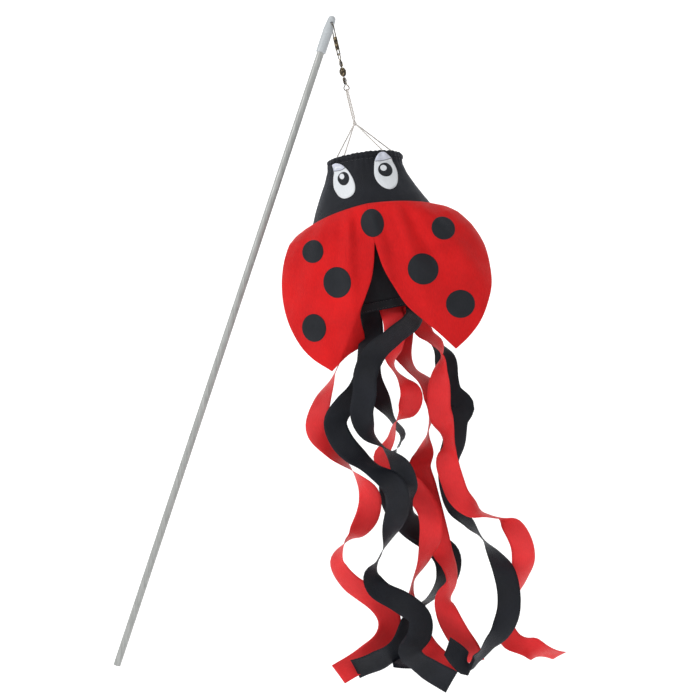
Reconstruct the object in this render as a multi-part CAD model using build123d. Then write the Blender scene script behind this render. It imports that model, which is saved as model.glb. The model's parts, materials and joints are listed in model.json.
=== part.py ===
from build123d import *
import os
from math import cos, radians, sin, tan

# Ladybird windsock on a leaning pole. Millimetres, +Z up, gravity along -Z.
# The origin is the middle of the pole's foot. The pole leans towards +X, the sock hangs
# from its tip, and the ladybird's face looks towards -Y.

# ---------------------------------------------------------------- driving dimensions
POLE_LEAN = 18.4            # degrees from upright, towards +X
POLE_LENGTH = 762           # foot to the end of the tip cap, 30 inches
POLE_DIAMETER = 7.94        # 5/16 inch rod
SPIGOT_DIAMETER = 7.6       # the rod's end, turned down where the cap is glued on

CAP_DIAMETER = 11.0
CAP_LENGTH = 43.0
CAP_END_WALL = 18.0         # solid plastic past the end of the rod
CAP_TIP_DIAMETER = 8.6
CAP_TAPER_LENGTH = 16.0
HOLE_DIAMETER = 3.2         # eye hole across the cap
HOLE_FROM_TIP = 8.8
HOLE_OFFSET = 1.6           # from the rod's axis, on the sock's side

CHAIN_TILT = 13.0           # the snap and swivel hang this far from plumb, degrees
SNAP_WIRE = 1.2
SNAP_LOOP_BOTTOM = 34.6     # from the wire in the hole to the wire of the lower loop
CLASP_TOP = 14.2
CLASP_LENGTH = 14.6
CLASP_WIDTH = 4.6
CLASP_DEPTH = 2.4
CLASP_SHEET = 0.4
SNAP_TURN = -22.0           # the clasp and lower loop are turned about the chain's axis

EYE_WIRE = 1.0
EYE_TURN = 50.0
EYE_WIDTH = 3.6             # between the wire centres
EYE_TOP = 33.1
EYE_BOTTOM = 41.0
NECK_DIAMETER = 2.1
SHANK_DIAMETER = 1.5
BARREL_TOP = 49.4
BARREL_LENGTH = 9.6
BARREL_DIAMETER = 7.6
BARREL_WALL = 0.8
RING_CENTRE = 72.4          # middle of the lower ring, from the wire in the hole
RING_DIAMETER = 5.8         # of the wire's centre line
RING_WIRE = 1.1

SOCK_TILT = 11.0            # the sock hangs this far from plumb, degrees
CORD = 1.7                  # bridle cord
KNOT_DEPTH = 40.0           # middle of the knot, below the ring
KNOT_OFFSET = 1.4
ARC_SHARE = 0.45            # part of the shorter run that a cord's arc takes up

FABRIC = 0.8                # thickness of the doubled black cloth
HOOP_DEPTH = 82.8
HOOP_OFFSET = 4.7
HOOP_TILT = 5.5
HOOP_RADIUS = 40.2
HOOP_WIRE = 2.0
CASING_WIRE = 3.6           # outside of the cloth tunnel around the hoop
NECK_DEPTH = 144.0
NECK_RADIUS = 67.5
HEM_DEPTH = 256.0
HEM_RADIUS = 50.0
HEM_HEIGHT = 11.0

WING_CLOTH = 0.8
APPLIQUE = 0.4              # thickness of a sewn-on patch
LAYER_GAP = 0.05            # between one layer of cloth and the next
WING_GAP = 0.8              # between the collar and the wings

STREAMER_WIDTH = 25.4
STREAMER_CLOTH = 0.6


# ---------------------------------------------------------------- places
def along(point, tilt, distance):
    """The point at a distance down a line that leans from plumb towards +X."""
    return Vector(
        point.X + distance * sin(radians(tilt)), point.Y, point.Z - distance * cos(radians(tilt))
    )


pole_frame = Location((0, 0, 0), (0, POLE_LEAN, 0))
hole_centre = (pole_frame * Location((HOLE_OFFSET, 0, POLE_LENGTH - HOLE_FROM_TIP))).position
wire_rest = (HOLE_DIAMETER - SNAP_WIRE) / 2 - 0.2
hook = along(hole_centre, CHAIN_TILT, wire_rest)
ring = along(hook, CHAIN_TILT, RING_CENTRE)
chain_frame = Location(hook, (0, -CHAIN_TILT, 0))
sock_frame = Location(ring, (0, -SOCK_TILT, 0))

os.makedirs("parts", exist_ok=True)


def save(name, *solids):
    """Write a node. Several solids that aren't joined stay separate in one file."""
    shape = solids[0] if len(solids) == 1 else Compound(children=list(solids))
    shape.label = name
    export_step(shape, f"parts/{name}.step")


def one_solid(shape):
    """The single solid of a boolean's result."""
    return shape.solids().sort_by(SortBy.VOLUME)[-1]


def round_wire(points, radii, diameter):
    """A round wire or cord along straight runs joined by tangent arcs."""
    if len(points) > 2:
        path = FilletPolyline(*points, radius=radii)
    else:
        path = Line(*points)
    start = Plane(origin=path @ 0, z_dir=path % 0)
    return sweep(start * Circle(diameter / 2), path=path).solid()


# ---------------------------------------------------------------- pole and tip cap
def pole_rod():
    exposed = POLE_LENGTH - CAP_LENGTH
    upright = (Align.CENTER, Align.CENTER, Align.MIN)
    rod = Cylinder(POLE_DIAMETER / 2, exposed, align=upright)
    spigot = Pos(0, 0, exposed) * Cylinder(
        SPIGOT_DIAMETER / 2, CAP_LENGTH - CAP_END_WALL, align=upright
    )
    return pole_frame * one_solid(rod + spigot)


def tip_cap():
    """A moulded cap that slides over the rod, with a rounded tip and a hole across it."""
    mouth = POLE_LENGTH - CAP_LENGTH
    taper = POLE_LENGTH - CAP_TAPER_LENGTH
    tip = CAP_TIP_DIAMETER / 2
    body = CAP_DIAMETER / 2
    profile = Polyline((0, mouth), (body, mouth), (body, taper), (tip, POLE_LENGTH - tip))
    dome = RadiusArc((tip, POLE_LENGTH - tip), (0, POLE_LENGTH), -tip)
    outline = Plane.XZ * make_face([*profile.edges(), dome, Line((0, POLE_LENGTH), (0, mouth))])
    cap = revolve(outline, Axis.Z)
    cap = fillet(cap.edges().group_by(Axis.Z)[0], 0.6)
    bore = Pos(0, 0, mouth) * Cylinder(
        SPIGOT_DIAMETER / 2, CAP_LENGTH - CAP_END_WALL, align=(Align.CENTER, Align.CENTER, Align.MIN)
    )
    hole = Pos(HOLE_OFFSET, 0, POLE_LENGTH - HOLE_FROM_TIP) * Rot(90, 0, 0) * Cylinder(
        HOLE_DIAMETER / 2, 2 * CAP_DIAMETER
    )
    return pole_frame * one_solid(cap - bore - hole)


# ---------------------------------------------------------------- snap and swivel
def turned(x, y, z, turn):
    """A point of the chain, turned about the chain's axis."""
    return (
        x * cos(radians(turn)) - y * sin(radians(turn)),
        x * sin(radians(turn)) + y * cos(radians(turn)),
        z,
    )


def snap_wire():
    """One bent wire: through the cap's hole, down both sides of the clasp and round the loop."""
    half = CLASP_WIDTH / 2 - CLASP_SHEET - SNAP_WIRE / 2 - LAYER_GAP
    span = CAP_TIP_DIAMETER / 2 + 1.7
    top = CLASP_TOP - 1
    low = CLASP_TOP + CLASP_LENGTH
    loop = 1.7
    points = [
        turned(half, 0, -(low - 1.5), SNAP_TURN),
        turned(half, 0, -top, SNAP_TURN),
        (1.2, -span, -4.5),
        (0, -span, 0),
        (0, span, 0),
        (-0.6, span, -4.5),
        turned(-half, 0, -top, SNAP_TURN),
        turned(-half, 0, -(low + 1), SNAP_TURN),
        turned(-loop, 0, -SNAP_LOOP_BOTTOM, SNAP_TURN),
        turned(loop, 0, -SNAP_LOOP_BOTTOM, SNAP_TURN),
        turned(half, 0, -(low - 0.7), SNAP_TURN),
    ]
    radii = [4.0, 3.0, 1.5, 1.5, 3.0, 4.0, 3.0, 1.2, 1.2]
    return chain_frame * round_wire(points, radii, SNAP_WIRE)


def snap_clasp():
    """A brass sheet rolled round both sides of the snap's wire, open along its back."""
    outer = SlotOverall(CLASP_WIDTH, CLASP_DEPTH)
    inner = SlotOverall(CLASP_WIDTH - 2 * CLASP_SHEET, CLASP_DEPTH - 2 * CLASP_SHEET)
    slot = Pos(0, CLASP_DEPTH / 2) * Rectangle(1.0, CLASP_DEPTH)
    sheet = extrude(outer - inner - slot, CLASP_LENGTH)
    place = Location((0, 0, -(CLASP_TOP + CLASP_LENGTH)), (0, 0, SNAP_TURN))
    return chain_frame * place * one_solid(sheet)


def swivel_end(top, bottom, width, wire, cap_inside, turn):
    """A wire eye, its twisted neck, and the headed shank that turns inside the barrel."""
    radius = width / 2
    straight = bottom - top - 2 * radius
    upper = Pos(0, 0, -(top + radius)) * Rot(90, 0, 0) * Torus(radius, wire / 2)
    if straight > 0:
        half_box = Pos(0, 0, -(top + radius)) * Box(
            4 * width, 4 * width, 4 * width, align=(Align.CENTER, Align.CENTER, Align.MIN)
        )
        legs = [
            Pos(side * radius, 0, -(top + radius)) * Cylinder(
                wire / 2, straight + radius, align=(Align.CENTER, Align.CENTER, Align.MAX)
            )
            for side in (-1, 1)
        ]
        foot = Pos(0, 0, -(bottom - wire / 2)) * Box(width + wire, wire, wire)
        upper = (upper & half_box) + legs[0] + legs[1] + foot
    neck = Pos(0, 0, -(bottom - 0.3)) * Cylinder(
        NECK_DIAMETER / 2, BARREL_TOP - 0.5 - bottom, align=(Align.CENTER, Align.CENTER, Align.MAX)
    )
    shank = Pos(0, 0, -(BARREL_TOP - 1)) * Cylinder(
        SHANK_DIAMETER / 2, cap_inside + 1.5, align=(Align.CENTER, Align.CENTER, Align.MAX)
    )
    head = Pos(0, 0, -(BARREL_TOP + cap_inside)) * Cylinder(
        SHANK_DIAMETER / 2 + 1.1, 1.0, align=(Align.CENTER, Align.CENTER, Align.MAX)
    )
    return Rot(0, 0, turn) * one_solid(upper + neck + shank + head)


def swivel_upper_eye():
    head_at = BARREL_WALL + 0.25
    return chain_frame * swivel_end(EYE_TOP, EYE_BOTTOM, EYE_WIDTH, EYE_WIRE, head_at, EYE_TURN)


def swivel_lower_ring():
    """The same end upside down, with a round ring."""
    middle = BARREL_TOP + BARREL_LENGTH / 2
    flipped_centre = 2 * middle - RING_CENTRE
    top = flipped_centre - RING_DIAMETER / 2
    end = swivel_end(
        top, flipped_centre + RING_DIAMETER / 2, RING_DIAMETER, RING_WIRE, BARREL_WALL + 0.25, 0
    )
    return chain_frame * Pos(0, 0, -2 * middle) * Rot(180, 0, 0) * end


def swivel_barrel():
    """A hollow barrel that both ends turn in."""
    half = BARREL_LENGTH / 2
    waist = BARREL_DIAMETER / 2
    mouth = SHANK_DIAMETER / 2 + 1.0
    side = ThreePointArc((mouth, -half), (waist, 0), (mouth, half))
    outline = Plane.XZ * make_face([side, Line((mouth, half), (0, half)), Line((0, half), (0, -half)),
                                    Line((0, -half), (mouth, -half))])
    barrel = revolve(outline, Axis.Z)
    inside = SHANK_DIAMETER / 2 + 1.1 + 0.25
    cavity = Cylinder(inside, BARREL_LENGTH - 2 * BARREL_WALL)
    bore = Cylinder(SHANK_DIAMETER / 2 + 0.15, 2 * BARREL_LENGTH)
    return chain_frame * Pos(0, 0, -(BARREL_TOP + half)) * one_solid(barrel - cavity - bore)


# ---------------------------------------------------------------- bridle
HOOP_PLACE = Location((HOOP_OFFSET, 0, -HOOP_DEPTH), (0, HOOP_TILT, 0))


def hoop_point(azimuth):
    """A point on the hoop's centre line. Azimuth 0 is the front and 90 is towards +X."""
    across = HOOP_RADIUS * sin(radians(azimuth))
    forward = HOOP_RADIUS * cos(radians(azimuth))
    return (HOOP_PLACE * Location((across, -forward, 0))).position


BRIDLE_AZIMUTHS = {"front_left": -36, "back_left": -116, "front_right": 29, "back_right": 98}


def widest_radii(points):
    """For each corner of a route, the widest arc that the runs beside it leave room for."""
    places = [Vector(*point) for point in points]
    radii = []
    for before, corner, after in zip(places, places[1:], places[2:]):
        run_in = corner - before
        run_out = after - corner
        half_turn = radians(run_in.get_angle(run_out)) / 2
        radii.append(ARC_SHARE * min(run_in.length, run_out.length) / tan(half_turn))
    return radii


def bridle_loop():
    """The doubled cord from the knot, up through the ring and back to the knot."""
    top = RING_DIAMETER / 2 - RING_WIRE / 2 - CORD / 2 - 0.1
    half = CORD / 2 + 0.15
    foot = -(KNOT_DEPTH - 4)
    points = [
        (KNOT_OFFSET - half, 0, foot),
        (-half, 1.9, -8.0),
        (-0.1, 1.75, -top),
        (0.1, -1.75, -top),
        (half, -1.9, -8.0),
        (KNOT_OFFSET + half, 0, foot),
    ]
    radii = widest_radii(points)
    print("radii of the bridle loop's arcs:", [round(radius, 2) for radius in radii])
    return sock_frame * round_wire(points, radii, CORD)


def bridle_knot():
    """The overhand knot that gathers the cords."""
    knot = Pos(KNOT_OFFSET, 0, -KNOT_DEPTH) * scale(Sphere(1), by=(2.6, 2.4, 4.0))
    return sock_frame * knot.solid()


def bridle_leg(name):
    """One straight, taut leg, from the knot to the hoop's casing."""
    azimuth = BRIDLE_AZIMUTHS[name]
    start = Vector(KNOT_OFFSET, 0, -KNOT_DEPTH)
    end = Vector(*hoop_point(azimuth))
    run = end - start
    step = run.normalized()
    knot_skin = 4.1
    casing_skin = CASING_WIRE / 2 + 0.15
    path = Line(start + step * knot_skin, end - step * casing_skin)
    section = Plane(origin=path @ 0, z_dir=path % 0) * Circle(CORD / 2 - 0.15)
    return sock_frame * sweep(section, path=path).solid()


# ---------------------------------------------------------------- hoop, head and body
def torus_on_hoop(diameter):
    return sock_frame * HOOP_PLACE * Torus(HOOP_RADIUS, diameter / 2)


def hoop():
    return torus_on_hoop(HOOP_WIRE).solid()


def hoop_casing():
    return one_solid(torus_on_hoop(CASING_WIRE) - torus_on_hoop(HOOP_WIRE + 2 * LAYER_GAP))


# offset, depth, radius and tilt of the rings that the head's cloth is stretched between
HEAD_RINGS = [
    (HOOP_OFFSET, HOOP_DEPTH + 2.1, HOOP_RADIUS + 1.0, HOOP_TILT),
    (2.6, 110.0, 49.0, 3.0),
    (0.4, 132.0, 60.0, 0.8),
    (0.0, NECK_DEPTH + 2, NECK_RADIUS, 0.0),
]
# depth, half width and half depth of the body's cloth
BODY_RINGS = [
    (NECK_DEPTH + 2.4, NECK_RADIUS - 0.3, NECK_RADIUS - 0.9),
    (190, 58, 57.5),
    (225, 53, 53),
    (HEM_DEPTH, HEM_RADIUS, HEM_RADIUS),
]
# depth, half width and half depth of the surface that the wings lie on
WING_RINGS = [
    (133, 64.0, 64.0),
    (144, 71.0, 70.6),
    (152, 84.0, 72.0),
    (161, 97.5, 72.5),
    (177, 109.5, 72.5),
    (201, 118.0, 70.5),
    (232, 123.0, 68.0),
    (318, 131.0, 63.0),
]


def head_skin(outwards):
    """The solid inside the head's surface, grown outwards by a distance."""
    rings = [
        Location((offset, 0, -depth), (0, tilt, 0)) * Circle(radius + outwards)
        for offset, depth, radius, tilt in HEAD_RINGS
    ]
    return loft(rings, ruled=True)


def oval_skin(rings, outwards):
    """The solid inside a stack of ovals, grown outwards by a distance."""
    ovals = [
        Pos(0, 0, -depth) * Ellipse(width + outwards, across + outwards)
        for depth, width, across in rings
    ]
    return loft(ovals, ruled=True)


def head_panel():
    return sock_frame * one_solid(head_skin(0) - head_skin(-FABRIC))


def body_panel():
    return sock_frame * one_solid(oval_skin(BODY_RINGS, 0) - oval_skin(BODY_RINGS, -FABRIC))


def bottom_hem():
    """The folded band that is sewn round the bottom of the body."""
    band = oval_skin(BODY_RINGS, LAYER_GAP + FABRIC) - oval_skin(BODY_RINGS, LAYER_GAP)
    keep = Pos(0, 0, -HEM_DEPTH) * Box(
        200, 200, HEM_HEIGHT, align=(Align.CENTER, Align.CENTER, Align.MIN)
    )
    return sock_frame * one_solid(band & keep)


# ---------------------------------------------------------------- flat outlines laid on a skin
def front_prism(outline):
    """A column that stands forward of the sock's middle, over an outline seen from the front."""
    return extrude(Plane.XZ * outline, amount=160, dir=(0, -1, 0))


def patch(outline, outer, inner):
    """The cloth between two skins, cut to an outline seen from the front."""
    return one_solid((outer - inner) & front_prism(outline))


def wing_layer(first, thickness):
    """The outer and inner skins of a layer of the wings' cloth."""
    return oval_skin(WING_RINGS, first + thickness), oval_skin(WING_RINGS, first)


def head_layer(first):
    return head_skin(first + APPLIQUE), head_skin(first)


NECK_MIDDLE = -138.4
NECK_SIDE = (67.5, -144.4)
OUTER_EDGE = [
    NECK_SIDE, (80.5, -151.8), (95, -163), (106, -181), (113.5, -205), (116, -231),
    (111.5, -254), (99.5, -278), (82, -298), (70, -309),
]
COLLAR_EDGE = [(0, -178), (38, -172), (58, -158), (80.5, -151.8)]
SLIT = {1: [(-4.3, -181), (1.5, -225), (15, -252), (29.5, -273), (45, -291), (66, -309)],
        -1: [(-5.1, -181), (-13.5, -212), (-23, -233.5), (-36, -254), (-67, -309)]}


def flipped(points, side):
    """Points of the right side, or their mirror image for the left."""
    return [(side * x, z) for x, z in points]


def collar_face():
    """The red yoke that joins both wings below the neck."""
    neck = [*flipped([NECK_SIDE, (36, -142.4)], -1), (0, NECK_MIDDLE), (36, -142.4), NECK_SIDE]
    lower = [*flipped(COLLAR_EDGE[:0:-1], -1), *COLLAR_EDGE]
    return make_face([
        Spline(*neck),
        Line(neck[-1], lower[-1]),
        Spline(*lower),
        Line(lower[0], neck[0]),
    ])


def wing_face(side):
    """One leaf-shaped wing, from the collar's edge to its tip."""
    edge = flipped(OUTER_EDGE[1:], side)
    slit = SLIT[side]
    gap = [(x, z - WING_GAP) for x, z in flipped(COLLAR_EDGE[:0:-1], side)]
    start = (slit[0][0], COLLAR_EDGE[0][1] - WING_GAP)
    return make_face([
        Spline(*gap, start),
        Line(start, slit[0]),
        Spline(*slit),
        Line(slit[-1], edge[-1]),
        Spline(*edge[::-1]),
        Line(edge[0], gap[0]),
    ])


def collar():
    return sock_frame * patch(collar_face(), *wing_layer(0, WING_CLOTH))


def wing(side):
    return sock_frame * patch(wing_face(side), *wing_layer(0, WING_CLOTH))


# middle and half sizes of the spots, seen from the front
SPOTS = {
    "collar_spot": (-2.9, -160.4, 12.2, 15.1),
    "left_spot_upper": (-71.3, -178.5, 11.6, 12.7),
    "left_spot_middle": (-51.5, -215.0, 15.0, 16.6),
    "left_spot_lower": (-85.5, -257.8, 13.1, 15.0),
    "right_spot_upper": (71.8, -179.5, 12.8, 12.7),
    "right_spot_middle": (41.3, -218.4, 16.6, 16.6),
    "right_spot_lower": (74.1, -262.4, 15.6, 14.8),
}


def spot(name):
    x, z, across, tall = SPOTS[name]
    layer = wing_layer(WING_CLOTH + LAYER_GAP, APPLIQUE)
    return sock_frame * patch(Pos(x, z) * Ellipse(across, tall), *layer)


EYES = {
    "left": {
        "outline": [(-31, -86.5), (-20.5, -95), (-12, -110), (-16, -122.5), (-25.5, -126.5),
                    (-33.5, -119), (-35.5, -102)],
        "lid": -94.2,
        "pupil": (-23.7, -104.6, 6.3, 7.3),
        "highlight": (-25.0, -102.0, 2.5, 3.3),
    },
    "right": {
        "outline": [(22, -87.6), (31, -93), (36, -106), (32, -120), (21.5, -126), (12, -118),
                    (10, -104), (14, -92.5)],
        "lid": -94.5,
        "pupil": (22.9, -104.4, 7.4, 7.4),
        "highlight": (21.1, -102.2, 3.3, 3.4),
    },
}


def eye_face(side):
    return make_face(Spline(*EYES[side]["outline"], periodic=True))


def eye_white(side):
    return sock_frame * patch(eye_face(side), *head_layer(LAYER_GAP))


def second_layer():
    return head_layer(2 * LAYER_GAP + APPLIQUE)


def eyelid(side):
    """The lilac upper part of the eye, above its lid line."""
    above = Pos(0, EYES[side]["lid"] + 50) * Rectangle(200, 100)
    return sock_frame * patch(eye_face(side) & above, *second_layer())


def oval(values):
    x, z, across, tall = values
    return Pos(x, z) * Ellipse(across, tall)


def pupil(side):
    return sock_frame * patch(oval(EYES[side]["pupil"]), *second_layer())


def highlight(side):
    return sock_frame * patch(
        oval(EYES[side]["highlight"]), *head_layer(3 * LAYER_GAP + 2 * APPLIQUE)
    )


# ---------------------------------------------------------------- streamers
# Each row is a place on the ribbon's middle line and the turn of its width about the
# plumb line: 0 shows its face to the front, 90 its edge. The first row is the seam.
STREAMERS = {
    "red_streamer_1": [
        (266, -14, 399, 108), (262, -14, 371, 102), (250, -16, 342, 95), (240, -20, 319, 98),
        (229, -30, 294, 140), (224, -36, 265, 172), (242, -42, 239, 225), (263, -42, 219, 272),
        (280, -42, 195, 335), (279, -40, 172, 358), (267, -38, 152, 395), (256, -36, 142, 440),
        (246, -34, 119, 488), (261, -34, 96, 520), (289, -34, 78, 538), (302, -36, 59, 548),
        (299, -40, 39, 555), (279, -44, 19, 548), (247, -58, 2, 540),
    ],
    "black_streamer_1": [
        (277.5, -34, 398, -40), (283, -39, 379, -24), (281, -55, 353, 0), (278, -62, 328, 10),
        (269, -66, 307, 20), (254, -68, 291, 25), (244, -68, 273, 12), (251, -70, 253, 0),
        (267, -79, 236, 10), (286, -91, 222, 28), (305, -90, 207, 18), (310, -80, 186, 0),
        (306, -68, 165, 25), (300, -58, 144, 70), (291, -54, 126, 85), (283, -56, 109, 50),
        (291, -60, 93, 12), (314, -66, 81, 0), (333, -72, 67, 8), (333, -84, 50, 0),
        (322, -98, 34, -15), (340, -96, 17, -10), (366, -96, 2, 0),
    ],
    "red_streamer_2": [
        (303.5, -40, 398, 0), (308.5, -52, 375, 5), (306, -48, 353, 30), (306, -42, 333, 78),
        (316, -40, 317, 60), (326, -38, 301, 10), (322, -36, 285, 25), (310, -34, 271, 88),
        (304, -30, 252, 110), (295, -28, 233, 140), (308, -26, 215, 168), (330, -26, 197, 178),
        (345, -30, 176, 184), (348, -32, 150, 190), (341, -28, 123, 228), (329, -26, 97, 262),
        (326, -14, 76, 245), (332, -12, 51, 205), (340, -27, 32, 190), (357, -46, 14, 180),
        (372, -57, 2, 180),
    ],
    "black_streamer_2": [
        (331, -33, 398, 37), (325.5, -51, 381, 20), (306, -68, 364, 5), (286, -76, 346, 5),
        (276, -82, 325, 0), (275, -86, 304, 0), (272, -86, 282, 12), (279, -84, 262, 48),
        (292, -80, 248, 88), (307, -76, 230, 148), (314, -70, 206, 175), (307, -43, 186, 185),
        (321, -10, 163, 205), (347, 6, 142, 215), (371, 12, 123, 205), (373, 10, 101, 220),
        (363, 0, 84, 250), (344, -24, 74, 272), (326, -50, 59, 232), (314, -64, 35, 205),
        (291, -64, 19, 188), (265, -60, 8, 180),
    ],
    "red_streamer_3": [
        (345, -12, 399, 75), (350, -22, 378, 55), (357, -30, 359, 65), (360, -34, 343, 92),
        (357, -36, 324, 130), (356, -40, 305, 170), (357, -42, 283, 178), (365, -42, 261, 125),
        (367, -42, 244, 122), (365, -42, 229, 162), (370, -44, 210, 180), (378, -46, 191, 205),
        (395, -46, 176, 245), (414, -46, 171, 272), (434, -44, 164, 310), (445, -36, 143, 345),
        (450, -22, 121, 362), (447, -10, 95, 402), (439, 0, 71, 425), (433, 6, 47, 398),
        (440, 4, 27, 375), (467, 0, 17, 362), (495, 12, 8, 360),
    ],
    "black_streamer_3": [
        (343, 17, 401, 112), (345, 12, 385, 100), (350, 4, 366, 78), (361, -4, 348, 45),
        (370, -10, 330, 20), (379, -14, 310, 0), (384, -18, 290, -5), (379, -20, 269, 0),
        (375, -20, 247, 12), (377, -18, 224, 20), (379, -16, 200, 22), (381, -16, 176, 32),
        (392, -18, 159, 58), (405, -20, 144, 88), (416, -26, 129, 50), (427, -34, 110, 15),
        (432, -38, 88, 0), (431, -42, 66, 0), (423, -46, 48, 25), (408, -52, 35, 58),
        (392, -64, 23, 78), (375, -78, 16, 50),
    ],
    "red_streamer_4": [
        (318, 40, 402, 160), (319, 34, 374, 178), (318, 24, 349, 205), (328, 16, 330, 235),
        (345, 10, 315, 225), (354, 6, 296, 200), (350, 2, 275, 255), (346, 0, 255, 275),
        (343, -2, 237, 315), (337, -6, 221, 345), (343, -8, 199, 358), (349, -10, 176, 362),
        (355, -12, 152, 366), (361, -14, 130, 378), (369, -18, 112, 408), (370, -26, 95, 422),
        (362, -35, 79, 398), (366, -41, 62, 372), (376, -43, 43, 360), (388, -41, 25, 355),
        (394, -37, 11, 350),
    ],
    "black_streamer_4": [
        (283, 38, 402, 208), (287, 34, 374, 190), (290, 28, 347, 182), (296, 22, 320, 188),
        (302, 14, 295, 205), (309, 8, 273, 262), (318, 4, 258, 250), (314, 0, 244, 272),
        (305, -2, 228, 218), (304, -6, 204, 188), (308, -6, 180, 182), (324, 6, 156, 200),
        (348, 24, 136, 215), (366, 32, 116, 200), (365, 30, 93, 222), (348, 20, 71, 252),
        (331, 4, 52, 228), (319, -16, 31, 198), (318, -40, 13, 180), (318, -82, 2, 180),
    ],
}


def streamer(rows):
    """A ribbon through its rows, closed by four ruled faces along each span and its two ends."""
    places = [Vector(x, y, z) for x, y, z, turn in rows]
    sections = []
    for i, row in enumerate(rows):
        before = places[max(i - 1, 0)]
        after = places[min(i + 1, len(rows) - 1)]
        way = (after - before).normalized()
        level = Vector(cos(radians(row[3])), sin(radians(row[3])), 0)
        across = (level - way * level.dot(way)).normalized() * (STREAMER_WIDTH / 2)
        face_normal = way.cross(across).normalized() * (STREAMER_CLOTH / 2)
        sections.append([
            places[i] + across + face_normal,
            places[i] - across + face_normal,
            places[i] - across - face_normal,
            places[i] + across - face_normal,
        ])
    faces = [Face(Wire.make_polygon(end, close=True)) for end in (sections[0], sections[-1])]
    for near, far in zip(sections, sections[1:]):
        for k in range(len(near)):
            near_edge = Edge.make_line(near[k - 1], near[k])
            far_edge = Edge.make_line(far[k - 1], far[k])
            faces.append(Face.make_surface_from_curves(near_edge, far_edge))
    return Solid(Shell(faces))


# ---------------------------------------------------------------- the nodes
save("pole_rod", pole_rod())
save("tip_cap", tip_cap())
save("snap_wire", snap_wire())
save("snap_clasp", snap_clasp())
save("swivel_upper_eye", swivel_upper_eye())
save("swivel_barrel", swivel_barrel())
save("swivel_lower_ring", swivel_lower_ring())
save("bridle_loop", bridle_loop())
save("bridle_knot", bridle_knot())
for leg in BRIDLE_AZIMUTHS:
    save(f"bridle_leg_{leg}", bridle_leg(leg))
save("hoop", hoop())
save("hoop_casing", hoop_casing())
save("head_panel", head_panel())
save("body_panel", body_panel())
save("bottom_hem", bottom_hem())
save("collar", collar())
save("wing_left", wing(-1))
save("wing_right", wing(1))
for spot_name in SPOTS:
    save(spot_name, spot(spot_name))
for eye in EYES:
    save(f"eye_white_{eye}", eye_white(eye))
    save(f"eyelid_{eye}", eyelid(eye))
    save(f"pupil_{eye}", pupil(eye))
    save(f"highlight_{eye}", highlight(eye))
for streamer_name, streamer_rows in STREAMERS.items():
    save(streamer_name, streamer(streamer_rows))
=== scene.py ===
import json
from math import asin, atan2, cos, exp, hypot, pi, radians, sin, sqrt, tau

import bpy
import numpy as np
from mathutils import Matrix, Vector, noise


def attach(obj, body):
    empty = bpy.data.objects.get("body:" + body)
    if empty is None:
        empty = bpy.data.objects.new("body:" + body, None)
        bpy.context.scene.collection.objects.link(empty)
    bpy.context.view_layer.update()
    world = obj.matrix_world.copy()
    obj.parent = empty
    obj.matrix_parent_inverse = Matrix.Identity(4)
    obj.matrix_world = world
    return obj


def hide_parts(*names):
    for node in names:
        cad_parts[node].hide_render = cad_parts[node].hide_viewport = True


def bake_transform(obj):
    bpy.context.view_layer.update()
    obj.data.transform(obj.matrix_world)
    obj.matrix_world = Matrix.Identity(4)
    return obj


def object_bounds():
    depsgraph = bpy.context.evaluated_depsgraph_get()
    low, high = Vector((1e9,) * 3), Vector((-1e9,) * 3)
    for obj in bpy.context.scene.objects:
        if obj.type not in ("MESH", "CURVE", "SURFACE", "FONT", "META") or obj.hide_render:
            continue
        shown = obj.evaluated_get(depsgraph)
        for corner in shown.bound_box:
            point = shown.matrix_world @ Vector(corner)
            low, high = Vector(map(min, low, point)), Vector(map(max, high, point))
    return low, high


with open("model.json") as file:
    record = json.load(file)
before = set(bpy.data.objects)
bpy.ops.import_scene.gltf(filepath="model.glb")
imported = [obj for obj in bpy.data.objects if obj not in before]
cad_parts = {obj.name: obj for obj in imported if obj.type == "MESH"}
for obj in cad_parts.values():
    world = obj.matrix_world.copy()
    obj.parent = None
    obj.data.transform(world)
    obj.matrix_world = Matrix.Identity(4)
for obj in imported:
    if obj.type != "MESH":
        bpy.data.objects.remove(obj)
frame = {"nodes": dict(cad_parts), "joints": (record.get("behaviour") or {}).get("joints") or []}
cad_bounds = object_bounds()
nodes = frame["nodes"]
joints = {joint["name"]: joint for joint in frame["joints"]}

MM = 0.001
CURVE_STEPS = 24            # places worked out between two points of a smooth curve

# ---------------------------------------------------------------- the sock's own frame
# u runs to the sock's right, y to its back and v down its length from the swivel's ring.
SOCK_TILT = radians(11)
ring = Vector(joints["bridle_swing"]["pos_m"])
ACROSS = Vector((cos(SOCK_TILT), 0, sin(SOCK_TILT)))
DOWN = Vector((sin(SOCK_TILT), 0, -cos(SOCK_TILT)))


def sock_point(u, y, v):
    """A point of the sock, given in millimetres, as a place in the frame."""
    return ring + (ACROSS * u + Vector((0, y, 0)) + DOWN * v) * MM


# ---------------------------------------------------------------- curves through points
def catmull(points, count, closed=False):
    """Points spread evenly along a smooth curve through the given ones."""
    p = np.array(points, float)
    if closed:
        p = np.vstack([p[-1], p, p[0], p[1]])
    else:
        p = np.vstack([2 * p[0] - p[1], p, 2 * p[-1] - p[-2]])
    fine = []
    for i in range(1, len(p) - 2):
        for k in range(CURVE_STEPS):
            t = k / CURVE_STEPS
            fine.append(0.5 * (
                2 * p[i] + (p[i + 1] - p[i - 1]) * t
                + (2 * p[i - 1] - 5 * p[i] + 4 * p[i + 1] - p[i + 2]) * t ** 2
                + (3 * p[i] - p[i - 1] - 3 * p[i + 1] + p[i + 2]) * t ** 3
            ))
    fine.append(p[-2])
    fine = np.array(fine)
    along = np.concatenate([[0], np.cumsum(np.linalg.norm(np.diff(fine[:, :3], axis=0), axis=1))])
    places = np.linspace(0, along[-1], count)
    return np.stack([np.interp(places, along, fine[:, k]) for k in range(fine.shape[1])], axis=1)


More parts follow.
